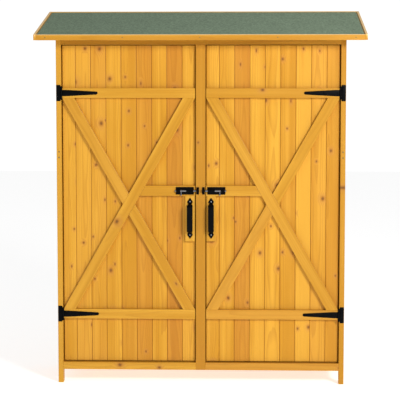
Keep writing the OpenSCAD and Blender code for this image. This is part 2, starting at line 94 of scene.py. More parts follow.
def number(description, default, **more):
    return bpy.props.FloatProperty(description=description, default=default, **more)


def count(description, default):
    return bpy.props.IntProperty(description=description, default=default, min=1)


class StoreTimber(bpy.types.PropertyGroup):
    """Sizes of the planed timber."""
    ease: length("Radius of the long edges of planed timber", 1.3 * MM)
    vee: length("Width of the bevel on each side of a board joint", 2.3 * MM)
    joint: length("Gap between neighbouring boards", 0.4 * MM)
    board: length("Width of a full door board", 66.3 * MM)
    trim: length("How much each end of a door board is cut short", 2.2 * MM)
    brace: length("Width of a door brace", 46 * MM)
    plank_gap: length("Gap between floor planks and between deck planks", 0.6 * MM)
    rail_z: length("Height of the underside of the middle rails", 985 * MM)
    rail_h: length("Height of the middle and top rear rails", 42 * MM)
    top_rail_h: length("Height of the side rails under the deck", 34 * MM)
    shelf_t: length("Thickness of a shelf", 15 * MM)
    cleat_h: length("Height of a shelf cleat", 20 * MM)
    full_boards: count("Full boards in a door, between its two edge boards", 7)
    back_boards: count("Boards across the back", 19)
    side_boards: count("Boards along each side", 4)
    floor_planks: count("Planks in the floor", 12)
    deck_planks: count("Planks under the felt", 13)


class StoreStain(bpy.types.PropertyGroup):
    """Colours of the stained softwood and the felt."""
    pale: colour("Light sapwood under the stain", (0.665, 0.340, 0.032))
    amber: colour("Usual colour of the stained wood", (0.515, 0.232, 0.011))
    rust: colour("Warm, darker heartwood", (0.455, 0.165, 0.022))
    late: colour("Dark line of each year's growth", (0.30, 0.098, 0.005))
    rose: colour("Pinkish wood round a knot", (0.48, 0.205, 0.042))
    # Painted highlight: the pale colour of the upper edge of a roof trim stands in for the light falling on
    # it.
    bare: colour("Worn upper edge of a roof trim", (0.93, 0.62, 0.27))
    knot: colour("Heart of a knot", (0.13, 0.052, 0.012))
    ring: length("Distance between two year rings", 3.6 * MM)
    felt: colour("Mineral granules of the felt", (0.292, 0.410, 0.268))
    # Painted light: the colour the felt is drawn in towards the right, where more light falls.
    felt_painted_light: colour("Paler granules towards the right", (0.395, 0.530, 0.350))
    felt_dark: colour("Bitumen between the granules", (0.075, 0.108, 0.070))


class StoreHardware(bpy.types.PropertyGroup):
    """Sizes of the hinges, bolts, handles, screws and nails."""
    plate: length("Thickness of the black steel plate", 2 * MM)
    strap: length("Length of a hinge strap from its pin", 157 * MM)
    strap_h: length("Height of a hinge strap at its pin", 27 * MM)
    tip: length("Radius of a strap's round end", 6.5 * MM)
    leaf_h: length("Height of a hinge leaf", 70 * MM)
    knuckle: length("Outer radius of a hinge knuckle", 4 * MM)
    pin: length("Radius of a hinge pin", 2.2 * MM)
    rod: length("Radius of a bolt rod", 4 * MM)
    grip: length("Half the width of a handle's grip", 12.5 * MM)
    stand_off: length("How far a handle stands off its block", 34 * MM)
    screw: length("Radius of a screw head", 3.2 * MM)
    nail: length("Radius of a nail head", 2.4 * MM)
    nail_pitch: length("Distance between the nails of a fascia", 330 * MM)
    black: colour("Satin black paint", (0.0016, 0.0017, 0.0020))
    zinc: colour("Bright plated steel", (0.25, 0.26, 0.28))
    dull: colour("Stained and weathered screw heads", (0.20, 0.15, 0.065))


class StoreStage(bpy.types.PropertyGroup):
    """The camera, the floor and the light."""
    place: bpy.props.FloatVectorProperty(description="Where the camera stands", size=3,
                                         default=(0.2021, -6.1010, 1.3298), subtype="TRANSLATION")
    yaw: number("Turn of the camera to the left", 0.0344, subtype="ANGLE")
    pitch: number("Downward tilt of the camera", 0.0872, subtype="ANGLE")
    lens: number("Focal length for a 36 mm sensor", 123.55, unit="CAMERA")
    key: number("Power of the soft light above the front right, in watts", 226.0)
    fill: number("Power of the low soft light from the left, in watts", 32.0)
    sky: number("Strength of the light from all round", 0.38)


GROUPS = {"store_timber": StoreTimber, "store_stain": StoreStain, "store_hardware": StoreHardware,
          "store_stage": StoreStage}


# ---------------------------------------------------------------- shapes

def skin(rings, closed=False):
    """Joins each ring of points to the next with quads. An open stack gets a flat end on its first and
    last ring, and a closed one joins its last ring to its first."""
    rows, around = rings.shape[:2]
    index = np.arange(rows * around).reshape(rows, around)
    here = index if closed else index[:-1]
    after = np.roll(index, -1, 0) if closed else index[1:]
    quads = np.stack([here, np.roll(here, -1, 1), np.roll(after, -1, 1), after], -1).reshape(-1, 4)
    ends = [] if closed else [index[:1, ::-1], index[-1:]]
    return [quads] + ends


def outward(points, groups):
    """Turns every polygon round if the solid is inside out: the volume is a sixth of the sum, over the
    fan of triangles of each polygon, of a corner dotted with the cross product of the next two."""
    volume = 0.0
    for group in groups:
        corners = points[group]
        spin = np.cross(corners[:, 1:-1], corners[:, 2:]).sum(1)
        volume += (corners[:, 0] * spin).sum()
    return groups if volume > 0 else [group[:, ::-1] for group in groups]


class Heap:
    """Closed solids gathered into one piece, with the direction of the grain at every point."""

    def __init__(self, name):
        self.random = np.random.default_rng(zlib.crc32(name.encode()))
        self.points, self.polygons, self.grain, self.tone, self.joint = [], [], [], [], []
        self.total = 0
        self.side = 1.0

    def add(self, points, groups, grain=None, joint=None):
        """Adds a solid, mirrored in X when side is -1."""
        points = points.reshape(-1, 3)
        placed = points * [self.side, 1, 1]
        for group in outward(placed, groups):
            self.polygons += (group + self.total).tolist()
        self.points.append(placed)
        self.grain.append(points if grain is None else grain)
        self.tone.append(np.broadcast_to(self.random.random(3), points.shape))
        self.joint.append(np.zeros(len(points)) if joint is None else joint)
        self.total += len(points)

    def timber(self, points, groups, along, across, joint=None):
        """Adds sawn timber. Its grain is the distance along it and the offsets across and through it from
        the tree's heart, which lies a random way behind the middle of the piece."""
        points = points.reshape(-1, 3)
        grain = points @ np.stack([along, across, np.cross(along, across)], 1)
        middle = (grain.min(0) + grain.max(0)) / 2
        heart = self.random.uniform([-9, -0.05, 0.02], [9, 0.05, 0.10])
        self.add(points, groups, grain - middle * [0, 1, 1] + heart, joint)

    def build(self, name, material, sharp):
        """Makes the object. Edges that turn by more than sharp degrees stay crisp."""
        mesh = bpy.data.meshes.new(name)
        mesh.from_pydata(np.concatenate(self.points).tolist(), [], self.polygons)
        for label, kind, key, rows in (("grain", "FLOAT_VECTOR", "vector", self.grain),
                                       ("tone", "FLOAT_VECTOR", "vector", self.tone),
                                       ("joint", "FLOAT", "value", self.joint)):
            layer = mesh.attributes.new(label, kind, "POINT")
            layer.data.foreach_set(key, np.concatenate(rows).astype(np.float32).ravel())
        mesh.shade_smooth()
        mesh.set_sharp_from_angle(angle=math.radians(sharp))
        mesh.materials.append(material)
        if mesh.validate():
            raise RuntimeError(f"{name} has broken faces")
        piece = bpy.data.objects.new(name, mesh)
        bpy.context.scene.collection.objects.link(piece)
        return piece


def rounded(lo, hi, radius, steps=3):
    """Rectangle with round corners: each corner's centre plus the radius times the cosine and sine of
    angles through that corner's own quarter turn."""
    corner = np.repeat(np.arange(4), steps + 1)
    angle = np.tile(np.linspace(0, math.pi / 2, steps + 1), 4) + corner * math.pi / 2
    centre_u = np.where((corner == 0) | (corner == 3), hi[0] - radius, lo[0] + radius)
    centre_v = np.where(corner < 2, hi[1] - radius, lo[1] + radius)
    return np.stack([centre_u + radius * np.cos(angle), centre_v + radius * np.sin(angle)], 1)


def plank(heap, lo, hi, along, ease, cut=False, lean=False, worn=False):
    """Planed timber: a round-cornered rectangle carried along one axis and drawn in at both ends. A cut
    piece has every upper point lowered by the roof's slope times its distance from the rear face, and a
    leaning piece rises by the slope times the distance from its front end. A piece with a painted top
    highlight is marked along its upper face for the pale colour that stands in for light on that edge."""
    lo, hi = np.array(lo, float), np.array(hi, float)
    if lean:
        hi[Z] -= SLOPE * (hi[Y] - lo[Y])
    sides = [axis for axis in (X, Y, Z) if axis != along]
    draw = ease * 0.6
    full = rounded(lo[sides], hi[sides], ease)
    small = rounded(lo[sides] + draw, hi[sides] - draw, ease - draw)
    rings = np.empty((4, len(full), 3))
    rings[..., sides] = np.stack([small, full, full, small])
    rings[..., along] = np.array([lo[along], lo[along] + draw, hi[along] - draw, hi[along]])[:, None]
    if cut:
        upper = rings[..., Z] > (lo[Z] + hi[Z]) / 2
        rings[..., Z] -= np.where(upper, SLOPE * (hi[Y] - rings[..., Y]), 0)
    if lean:
        rings[..., Z] += SLOPE * (rings[..., Y] - lo[Y])
    directions = np.eye(3)
    wide = sides[int(np.argmax(hi[sides] - lo[sides]))]
    # The upper face of a highlighted piece is marked -1, for the painted highlight on its lit edge.
    joint = -1.0 * np.tile(full[:, sides.index(Z)] > hi[Z] - draw, 4) if worn else None
    heap.timber(rings, skin(rings), directions[along], directions[wide], joint)


def board_row(heap, widths, thick, vee, joint, origin, run, inward, low, high):
    """A row of upright tongued and grooved boards. Each board's section is drawn as a distance along
    the row and a depth from its face, and is carried from low to high; high may depend on Y."""
    key, reach, slack = thick * 0.34, 4.5 * MM, 0.3 * MM
    edges = np.concatenate([[0.0], np.cumsum(widths)])
    last = len(widths) - 1
    for place, width in enumerate(widths):
        w = width - joint
        section = [(0, vee), (vee * 0.35, vee * 0.3), (vee, 0), (w - vee, 0), (w - vee * 0.35, vee * 0.3),
                   (w, vee)]
        shade = [1, 0.7, 0, 0, 0.7, 1]
        if place < last:
            section += [(w, (thick - key) / 2), (w + reach, (thick - key) / 2),
                        (w + reach, (thick + key) / 2), (w, (thick + key) / 2)]
            shade += [1, 1, 1, 1]
        section += [(w, thick), (0, thick)]
        shade += [0, 0]
        if place > 0:
            section += [(0, (thick + key) / 2 + slack), (reach + MM, (thick + key) / 2 + slack),
                        (reach + MM, (thick - key) / 2 - slack), (0, (thick - key) / 2 - slack)]
            shade += [1, 1, 1, 1]
        section = np.array(section)
        flat = origin + (edges[place] + section[:, :1]) * run + section[:, 1:] * inward
        rings = np.repeat(flat[None], 2, 0)
        rings[0, :, Z] = low
        rings[1, :, Z] = high(flat[:, Y])
        heap.timber(rings, skin(rings), UP, run, np.tile(shade, 2))


def inset(outline, distance):
    """Moves every side of a convex outline inwards: each corner goes back along the sum of its two
    sides' normals, divided by one plus their dot product."""
    side = np.roll(outline, -1, 0) - outline
    normal = np.stack([side[:, 1], -side[:, 0]], 1) / np.linalg.norm(side, axis=1)[:, None]
    before = np.roll(normal, 1, 0)
    mitre = (normal + before) / (1 + (normal * before).sum(1))[:, None]
    return outline - distance * mitre


def slab_rings(outline, y0, y1, ease):
    """An outline drawn in X and Z and carried from y0 to y1, with both its edges rolled over a quarter
    circle: the inset is ease times one minus the sine, at a depth of ease times one minus the cosine."""
    outline = np.array(outline, float)
    after = np.roll(outline, -1, 0)
    if (outline[:, 0] * after[:, 1] - after[:, 0] * outline[:, 1]).sum() < 0:
        outline = outline[::-1]
    turn = np.array([0, math.pi / 4, math.pi / 2])
    draw = ease * (1 - np.sin(turn))
    depth = ease * (1 - np.cos(turn))
    levels = np.concatenate([y0 + depth, (y1 - depth)[::-1]])
    rings = np.empty((6, len(outline), 3))
    rings[..., [X, Z]] = np.stack([inset(outline, step) for step in np.concatenate([draw, draw[::-1]])])
    rings[..., Y] = levels[:, None]
    return rings


def plate(heap, outline, y0, y1, ease):
    """A flat steel plate."""
    rings = slab_rings(outline, y0, y1, ease)
    heap.add(rings, skin(rings))


def flat_timber(heap, outline, y0, y1, ease, angle):
    """Flat timber whose grain runs at an angle in the X and Z plane."""
    rings = slab_rings(outline, y0, y1, ease)
    along = np.array([math.cos(angle), 0, math.sin(angle)])
    across = np.array([-math.sin(angle), 0, math.cos(angle)])
    heap.timber(rings, skin(rings), along, across)


def turned(heap, centre, axis, stations, radii, around=32, closed=False):
    """A turned shape: at each station along an axis, a circle, or an outline given as one radius for each
    angle. The stations of a closed shape run over its outside and back through its bore."""
    radii = np.array(radii)
    if radii.ndim == 1:
        radii = np.repeat(radii[:, None], around, 1)
    angle = np.arange(radii.shape[1]) * 2 * math.pi / radii.shape[1]
    sides = [side for side in (X, Y, Z) if side != axis]
    rings = np.empty((*radii.shape, 3))
    circle = np.stack([np.cos(angle), np.sin(angle)], 1)
    rings[..., sides] = np.array(centre)[sides] + radii[..., None] * circle
    rings[..., axis] = centre[axis] + np.array(stations)[:, None]
    heap.add(rings, skin(rings, closed))


def bored(heap, centre, axis, start, end, outer, inner, edge):
    """A block with a round bore and bevelled outer edges. Its outline is one radius or one for each angle."""
    outer = np.full(40, outer) if np.ndim(outer) == 0 else outer
    inner = np.full(len(outer), inner)
    turned(heap, centre, axis, [start, start + edge, end - edge, end, end, start],
           [outer - edge, outer, outer, outer - edge, inner, inner], closed=True)


def squircle(across, front, behind, power_front, power_behind, around=48):
    """Radii round an axis of an arch that is across wide on both sides and reaches front towards the
    viewer and behind towards the door: one over the n-th root of |cos/a|^n + |sin/b|^n, with a and n
    of their own in each half."""
    angle = np.arange(around) * 2 * math.pi / around
    rear = np.cos(angle) > 0
    reach = np.where(rear, behind, front)
    power = np.where(rear, power_behind, power_front)
    total = np.abs(np.cos(angle) / reach) ** power + np.abs(np.sin(angle) / across) ** power
    return total ** (-1 / power)


def screw_head(heap, x, y, z, radius, rise, around=40):
    """A domed head facing the front with a cross recess. The height over a disc is the rise times the
    root of one minus the squared radius, less the recess wherever a point is nearer to one of the two
    arms than its half width and inside the arms' reach."""
    angle = np.arange(around) * 2 * math.pi / around + 0.4
    share = np.array([0.02, 0.12, 0.2, 0.28, 0.4, 0.52, 0.6, 0.75, 0.9, 1.0])
    u = share[:, None] * np.cos(angle)
    v = share[:, None] * np.sin(angle)
    arm = np.minimum(np.abs(u), np.abs(v))
    sunk = np.clip((0.16 - arm) / 0.05, 0, 1) * np.clip((0.58 - share[:, None]) / 0.08, 0, 1)
    height = rise * (0.35 + 0.65 * np.sqrt(np.clip(1 - share[:, None] ** 2, 0, 1))) - 0.55 * rise * sunk
    rings = np.empty((len(share) + 1, around, 3))
    rings[:-1] = np.stack([x + radius * u, y - height, z + radius * v], -1)
    rings[-1] = np.stack([x + radius * u[-1], np.full(around, y + 0.2 * MM), z + radius * v[-1]], -1)
    heap.add(rings, skin(rings))


def between(top, bottom):
    """Quads of a thin closed sheet between two grids of points, with a strip round their edge."""
    rows, columns = top.shape[:2]
    index = np.arange(rows * columns).reshape(rows, columns)
    upper = np.stack([index[:-1, :-1], index[:-1, 1:], index[1:, 1:], index[1:, :-1]], -1).reshape(-1, 4)
    rim = np.concatenate([index[0, :-1], index[:-1, -1], index[-1, :0:-1], index[:0:-1, 0]])
    below = index.size
    strip = np.stack([np.roll(rim, -1), rim, rim + below, np.roll(rim, -1) + below], -1)
    return np.concatenate([top.reshape(-1, 3), bottom.reshape(-1, 3)]), \
        [upper, (upper + below)[:, ::-1], strip]


def line(point, angle, offset=0.0):
    """A straight line through a point of the X and Z plane, moved to its left by an offset: the unit
    normal and its dot product with the points of the line."""
    normal = np.array([-math.sin(angle), math.cos(angle)])
    return normal, normal @ np.array(point) + offset


def meet(first, second):
    """Where two lines cross."""
    return np.linalg.solve(np.stack([first[0], second[0]]), [first[1], second[1]])


# ---------------------------------------------------------------- finishes

class Field:
    """A socket of a finish's nodes. Arithmetic on it adds Math nodes."""

    def __init__(self, finish, socket):
        self.finish = finish
        self.socket = socket

    def math(self, operation, *values):
        return self.finish.node("Math", {"operation": operation}, dict(enumerate(values)))

    def __rsub__(self, other):
        return self.math("SUBTRACT", other, self)


for sign, operation in (("add", "ADD"), ("sub", "SUBTRACT"), ("mul", "MULTIPLY"), ("truediv", "DIVIDE"),
                        ("pow", "POWER"), ("gt", "GREATER_THAN")):
    setattr(Field, f"__{sign}__", lambda self, other, operation=operation: self.math(operation, self, other))
Field.__radd__, Field.__rmul__ = Field.__add__, Field.__mul__


class Finish:
    """A material whose nodes are made by one method."""

    def __init__(self, name):
        self.material = bpy.data.materials.new(name)
        self.material.use_nodes = True
        self.tree = self.material.node_tree
        self.tree.nodes.clear()

    def node(self, kind, settings=None, inputs=None, output=0):
        """Adds a node: its settings first, then the values or links of its sockets. Returns one output."""
        made = self.tree.nodes.new("ShaderNode" + kind)
        for key, value in (settings or {}).items():
            setattr(made, key, value)
        for key, value in (inputs or {}).items():
            if isinstance(value, Field):
                self.tree.links.new(value.socket, made.inputs[key])
            else:
                made.inputs[key].default_value = value
        return Field(self, made.outputs[output])

    def parts(self, vector):
        """The three numbers of a vector."""
        split = self.node("SeparateXYZ", None, {0: vector}).socket.node
        return [Field(self, socket) for socket in split.outputs]

    def attribute(self, name, output="Vector"):
        return self.node("Attribute", {"attribute_name": name}, None, output)

    def place(self):
        """Where a point lies on the piece, from the piece's own origin."""
        return self.node("TexCoord", None, None, "Object")

    def lots(self, cells):
        """The random numbers of a Voronoi cell."""
        return self.parts(Field(self, cells.socket.node.outputs["Color"]))

    def vector(self, x, y, z):
        return self.node("CombineXYZ", None, {0: x, 1: y, 2: z})

    def noise(self, vector, scale=1.0, detail=2.0, rough=0.5):
        return self.node("TexNoise", None, {"Vector": vector, "Scale": scale, "Detail": detail,
                                            "Roughness": rough}, "Fac")

    def ease(self, value, low, high, to_low=0.0, to_high=1.0):
        """Runs smoothly from to_low at low to to_high at high, and stays level outside them."""
        return self.node("MapRange", {"interpolation_type": "SMOOTHSTEP"},
                         {"Value": value, "From Min": low, "From Max": high, "To Min": to_low,
                          "To Max": to_high}, "Result")

    def mix(self, share, first, second, blend="MIX"):
        """Mixes two colours."""
        rgba = [value if isinstance(value, Field) else (*value, 1.0) for value in (first, second)]
        return self.node("Mix", {"data_type": "RGBA", "blend_type": blend},
                         {0: share, 6: rgba[0], 7: rgba[1]}, 2)

    def shader(self, surface, bump=None, bump_size=0.0, **constants):
        """Ends the finish: what varies is linked, and constants stand on the shader's own sockets."""
        inputs = dict(surface)
        if bump is not None:
            inputs["Normal"] = self.node("Bump", None, {"Strength": 1.0, "Distance": bump_size,
                                                        "Height": bump}, "Normal")
        inputs.update({key.replace("_", " "): value for key, value in constants.items()})
        face = self.node("BsdfPrincipled", None, inputs)
        end = self.tree.nodes.new("ShaderNodeOutputMaterial")
        self.tree.links.new(face.socket, end.inputs["Surface"])
        return self.material


def softwood(name, stain, paleness, knots, contrast=1.0, gloss=0.43, shade=1.0):
    """Stained softwood. Year rings are the fractions of the distance from the tree's heart, which noise
    bends; knots sit in about a third of the cells of a long grid and push the rings aside; fine fibres
    run with the grain. Each board has its own tone. The bevels of the joints are darker, where the joint
    attribute is above 0. Where it is below, the upper edges of the roof trims get a painted highlight: a pale
    colour that stands in for the light they catch. A shade below 1 multiplies the whole colour down:
    painted shade for pieces that stand forward and catch more light."""
    finish = Finish(name)
    along, across, depth = finish.parts(finish.attribute("grain"))
    shade_a, shade_b, shade_c = finish.parts(finish.attribute("tone"))
    joint = finish.attribute("joint", "Fac")

    def fibres(lengthwise, crosswise, detail=2.0, rough=0.5):
        """Noise with this many waves to the metre along the grain and across it."""
        return finish.noise(finish.vector(along * lengthwise, across * crosswise, depth * crosswise), 1.0,
                            detail, rough)

    cell_long, cell_wide = 0.17, 0.062
    grid = finish.vector(along / cell_long, across / cell_wide + shade_a * 7.0, 0.0)
    cells = finish.node("TexVoronoi", {"voronoi_dimensions": "2D", "feature": "F1"},
                        {"Vector": grid, "Scale": 1.0}, "Position")
    near_x, near_y, _ = finish.parts(finish.node("VectorMath", {"operation": "SUBTRACT"},
                                                 {0: cells, 1: grid}))
    lot_a, lot_b, _ = finish.lots(cells)
    off_x = near_x * finish.ease(lot_b, 0.0, 0.35, cell_long * 0.38, cell_long * 0.8)
    off_y = near_y * cell_wide
    ragged = fibres(160.0, 160.0) - 0.5
    smallest, spread = 2.4 * MM, 4.2 * MM
    size = lot_b * lot_b * spread + smallest
    ratio = ((off_x * off_x + off_y * off_y) ** 0.5) / size + ragged * 0.5
    present = lot_a > 1 - knots
    core = finish.ease(ratio, 1.35, 0.45) * present
    halo = finish.ease(ratio, 5.6, 0.8) * present

    wave = finish.noise(finish.vector(along * 1.7, across * 9.0 + shade_b * 5.0, depth * 9.0)) - 0.5
    fine_wave = fibres(5.0, 40.0) - 0.5
    side = across + wave * 0.034
    through = depth + wave * 0.02
    radius = (side * side + through * through) ** 0.5 + fine_wave * 0.0022 + halo * 0.005
    year = finish.node("Math", {"operation": "FRACT"}, {0: radius / stain.ring})
    late = finish.ease(year, 0.42, 0.93) * finish.ease(year, 1.0, 0.95)
    fibre = fibres(14.0, 900.0, 3.0, 0.6)
    streak = finish.noise(finish.vector(along * 0.9, across * 34.0 + shade_c * 9.0, depth * 34.0))
    cloud = finish.noise(finish.vector(along * 2.2, across * 7.0, depth * 7.0 + shade_a * 3.0))

    tint = finish.ease(streak * 0.6 + cloud * 0.4 + (shade_b - 0.5) * 0.30, 0.34, 0.64)
    base = finish.mix(tint * 0.85 + paleness, stain.amber, stain.pale)
    rusty = finish.ease(shade_c + (cloud - 0.5) * 0.7, 0.4, 1.1)
    base = finish.mix(rusty * (0.5 * contrast), base, stain.rust)
    base = finish.mix(late * (0.26 * contrast) + (fibre - 0.5) * 0.16, base, stain.late)
    base = finish.mix(halo * 0.5, base, stain.rose)
    base = finish.mix(finish.ease(ratio, 2.6, 0.8) * present * 0.6, base, stain.late)
    base = finish.mix(core * 0.72, base, stain.knot)
    # Painted shade: a shade below 1 darkens the whole colour, so that pieces standing forward of the boards,
    # which catch more light, come out as dark as the boards.
    base = finish.mix(1.0, base, (shade, shade, shade), "MULTIPLY")
    base = finish.mix(finish.ease(joint, 0.0, 1.0) * 0.45, base, stain.late)
    # Painted highlight: where the joint attribute is below 0, the upper edges of the roof trims turn pale,
    # standing in for the light they catch.
    base = finish.mix(finish.ease(joint, 0.0, -1.0), base, stain.bare)
    rough = gloss + (fibre - 0.5) * 0.12 + late * -0.04 + core * 0.08
    relief = fibre * 0.5 + late * 0.5 + core * 0.6
    return finish.shader({"Base Color": base, "Roughness": rough}, relief, 0.00022, IOR=1.3)


def mineral_felt(name, stain):
    """Green mineral felt: round granules a millimetre and a half across, lying unevenly on bitumen, and
    slow mottling. It gets paler from left to right: painted light, standing in for the lamp on the right."""
    finish = Finish(name)
    spot = finish.place()
    x, _, _ = finish.parts(spot)
    grains = finish.node("TexVoronoi", {"feature": "F1"}, {"Vector": spot, "Scale": 640.0}, "Distance")
    lot, _, _ = finish.lots(grains)
    grit = finish.ease(grains, 0.62, 0.22)
    blotch = finish.noise(spot, 95.0, 4.0, 0.7)
    cloud = finish.noise(spot, 7.0, 3.0, 0.55)
    # Painted light: the felt is drawn paler from left to right, standing in for the lamp on the right; the
    # cloud adds real mottling.
    pale = finish.ease(x, FELT_LO[X], FELT_HI[X]) * 0.75 + (cloud - 0.5) * 0.5
    base = finish.mix(pale, stain.felt, stain.felt_painted_light)
    base = finish.mix(finish.ease(blotch, 0.40, 0.60) * 0.42 + lot * 0.25, base, stain.felt_dark)
    base = finish.mix((1 - grit) * 0.35, base, stain.felt_dark)
    return finish.shader({"Base Color": base, "Roughness": 0.9 - lot * 0.12}, grit + blotch * 0.5, 0.0006)


def black_steel(name, hardware):
    """Satin black paint on pressed steel, with the fine ripple of sprayed paint and a few dull patches."""
    finish = Finish(name)
    spot = finish.place()
    ripple = finish.noise(spot, 420.0, 2.0)
    patch = finish.noise(spot, 60.0, 3.0)
    base = finish.mix(finish.ease(patch, 0.35, 0.75) * 0.5, hardware.black, (0.004, 0.0042, 0.005))
    rough = 0.34 + patch * 0.14 + ripple * 0.06
    return finish.shader({"Base Color": base, "Roughness": rough}, ripple, 0.00012, IOR=1.12)


def plated_steel(name, tint, metal, rough):
    """Plated steel with faint scratches that run round and along it."""
    finish = Finish(name)
    spot = finish.place()
    x, y, z = finish.parts(spot)
    scratch = finish.noise(finish.vector(x * 900.0, y * 140.0, z * 900.0), 1.0, 3.0)
    cloud = finish.noise(spot, 130.0, 2.0)
    dark = tuple(value * 0.6 for value in tint)
    base = finish.mix(finish.ease(scratch * 0.4 + cloud * 0.6, 0.35, 0.7) * 0.6, tint, dark)
    return finish.shader({"Base Color": base, "Roughness": rough + scratch * 0.2}, scratch, 0.00005,
                         Metallic=metal)


def pale_floor(name):
    """Matt near-white floor with a hardly visible mottling."""
    finish = Finish(name)
    cloud = finish.noise(finish.place(), 1.5, 3.0)
    base = finish.mix(cloud * 0.3, (0.93, 0.93, 0.93), (0.90, 0.90, 0.90))
    return finish.shader({"Base Color": base}, None, Roughness=0.8, Emission_Color=(1.0, 1.0, 1.0, 1.0),
                         Emission_Strength=0.6)


def finish_named(name):
    """A finish of the store, made the first time it is asked for."""
    if name in bpy.data.materials:
        return bpy.data.materials[name]
    stain, metal = bpy.context.scene.store_stain, bpy.context.scene.store_hardware
    makers = {
        # The frame and the trims are the boards' stain darkened by a shade below 1: painted shade.
        "stained_frame": lambda: softwood(name, stain, 0.05, 0.22, 0.8, shade=0.87),
        "stained_boards": lambda: softwood(name, stain, 0.06, 0.42),
        "stained_trim": lambda: softwood(name, stain, 0.12, 0.10, 0.6, shade=0.90),
        "plain_inside": lambda: softwood(name, stain, 0.22, 0.22, 0.8, gloss=0.55),
        "roof_felt": lambda: mineral_felt(name, stain),
        "satin_black": lambda: black_steel(name, metal),
        "bright_zinc": lambda: plated_steel(name, tuple(metal.zinc), 1.0, 0.22),
        "dull_zinc": lambda: plated_steel(name, tuple(metal.dull), 0.6, 0.45),
    }
    return makers[name]()


# ---------------------------------------------------------------- the store

KINDS = {"satin_black": "steel", "bright_zinc": "steel", "dull_zinc": "steel", "roof_felt": "sheet"}


def make_piece(node, finish, fill, sharp=12, side=1.0):
    """The piece that stands for a CAD node, rides on its body and takes its slot."""
    heap = Heap(node)
    heap.side = side
    fill(heap)
    piece = heap.build(f"{node}_{KINDS.get(finish, 'timber')}", finish_named(finish), sharp)
    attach(piece, BODY_OF[node])
    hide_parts(node)


def make_pair(node, finish, fill, sharp=12):
    """The piece drawn on the left, and its mirror image on the right."""
    for side, sign in SIDES.items():
        make_piece(f"{side}_{node}", finish, fill, sharp, sign)


def bar(node, along, ease, **how):
    """What draws one plank as large as a node's box."""
    return lambda heap: plank(heap, *box(node), along, ease, **how)


def planks(heap, node, number, gap, ease, **how):
    """Planks side by side from left to right, each lying from front to back."""
    lo, hi = box(node)
    pitch = (hi[X] - lo[X] + gap) / number
    for place in range(number):
        start = lo[X] + place * pitch
        plank(heap, (start, lo[Y], lo[Z]), (start + pitch - gap, hi[Y], hi[Z]), Y, ease, **how)


def joint_named(name):
    return next(joint for joint in frame["joints"] if joint["name"] == name)


def pin_place():
    """X and Y of the left door's hinge pins."""
    return joint_named("left_door_swing")["pos_m"][:2]


def bolt_place():
    """Y and Z of the left bolt's axis."""
    return joint_named("left_lever_turn")["pos_m"][1:]


def hinge_heights():
    """Middles of the two ledges that carry the straps."""
    return [(lo[Z] + hi[Z]) / 2 for lo, hi in (box("left_door_bottom_ledge"), box("left_door_top_ledge"))]


class Step:
    """What the operators share: each reads the sizes and then builds."""

    def execute(self, context):
        self.timber, self.metal = context.scene.store_timber, context.scene.store_hardware
        self.build()
        return {"FINISHED"}


class STORE_OT_frame(Step, bpy.types.Operator):
    """Posts, header, bottom rails and centre post"""
    bl_idname = "garden_store.frame"
    bl_label = "Posts and Rails"

    def build(self):
        ease = self.timber.ease
        for node in ("front_left_post", "front_right_post", "rear_left_post", "rear_right_post"):
            make_piece(node, "stained_frame", bar(node, Z, ease, cut=True))
        make_piece("centre_post", "stained_frame", bar("centre_post", Z, ease))
        make_piece("header_rail", "stained_frame", bar("header_rail", X, ease, cut=True))
        for node in ("left_bottom_rail", "right_bottom_rail"):
            make_piece(node, "stained_frame", bar(node, X, ease))
        make_piece("floor_bearer", "plain_inside", bar("floor_bearer", X, ease))
        make_piece("rear_rails", "plain_inside",
                   lambda heap: self.rails(heap, "rear_rails", X, self.timber.rail_h, cut=True))
        for node in ("left_side_rails", "right_side_rails"):
            make_piece(node, "plain_inside",
                       lambda heap: self.rails(heap, node, Y, self.timber.top_rail_h, lean=True))

    def rails(self, heap, node, along, top_height, **how):
        """Bottom, middle and top rail of one wall. The top one follows the roof."""
        lo, hi = box(node)
        middle = self.timber.rail_z
        for z0, z1, shape in ((lo[Z], box("left_bottom_rail")[1][Z], {}),
                              (middle, middle + self.timber.rail_h, {}),
                              (hi[Z] - SLOPE * (hi[Y] - lo[Y]) - top_height, hi[Z], how)):
            plank(heap, (lo[X], lo[Y], z0), (hi[X], hi[Y], z1), along, self.timber.ease, **shape)


class STORE_OT_cladding(Step, bpy.types.Operator):
    """Boards of the sides and the back"""
    bl_idname = "garden_store.cladding"
    bl_label = "Cladding"

    def build(self):
        make_pair("side_boards", "stained_boards",
                  lambda heap: self.wall(heap, "left_side_boards", self.timber.side_boards, BACK, RIGHT))
        make_piece("back_boards", "stained_boards",
                   lambda heap: self.wall(heap, "back_boards", self.timber.back_boards, -RIGHT, -BACK))

    def wall(self, heap, node, number, run, inward):
        """Even upright boards, whose tops follow the roof."""
        lo, hi = box(node)
        long, thick = np.abs((hi - lo) @ run), np.abs((hi - lo) @ inward)
        joint = self.timber.joint
        start = np.where(run + inward > 0, lo, hi) * [1, 1, 0]
        board_row(heap, np.full(number, (long + joint) / number), thick, self.timber.vee, joint, start, run,
                  inward, lo[Z], lambda y: hi[Z] - SLOPE * (hi[Y] - y))


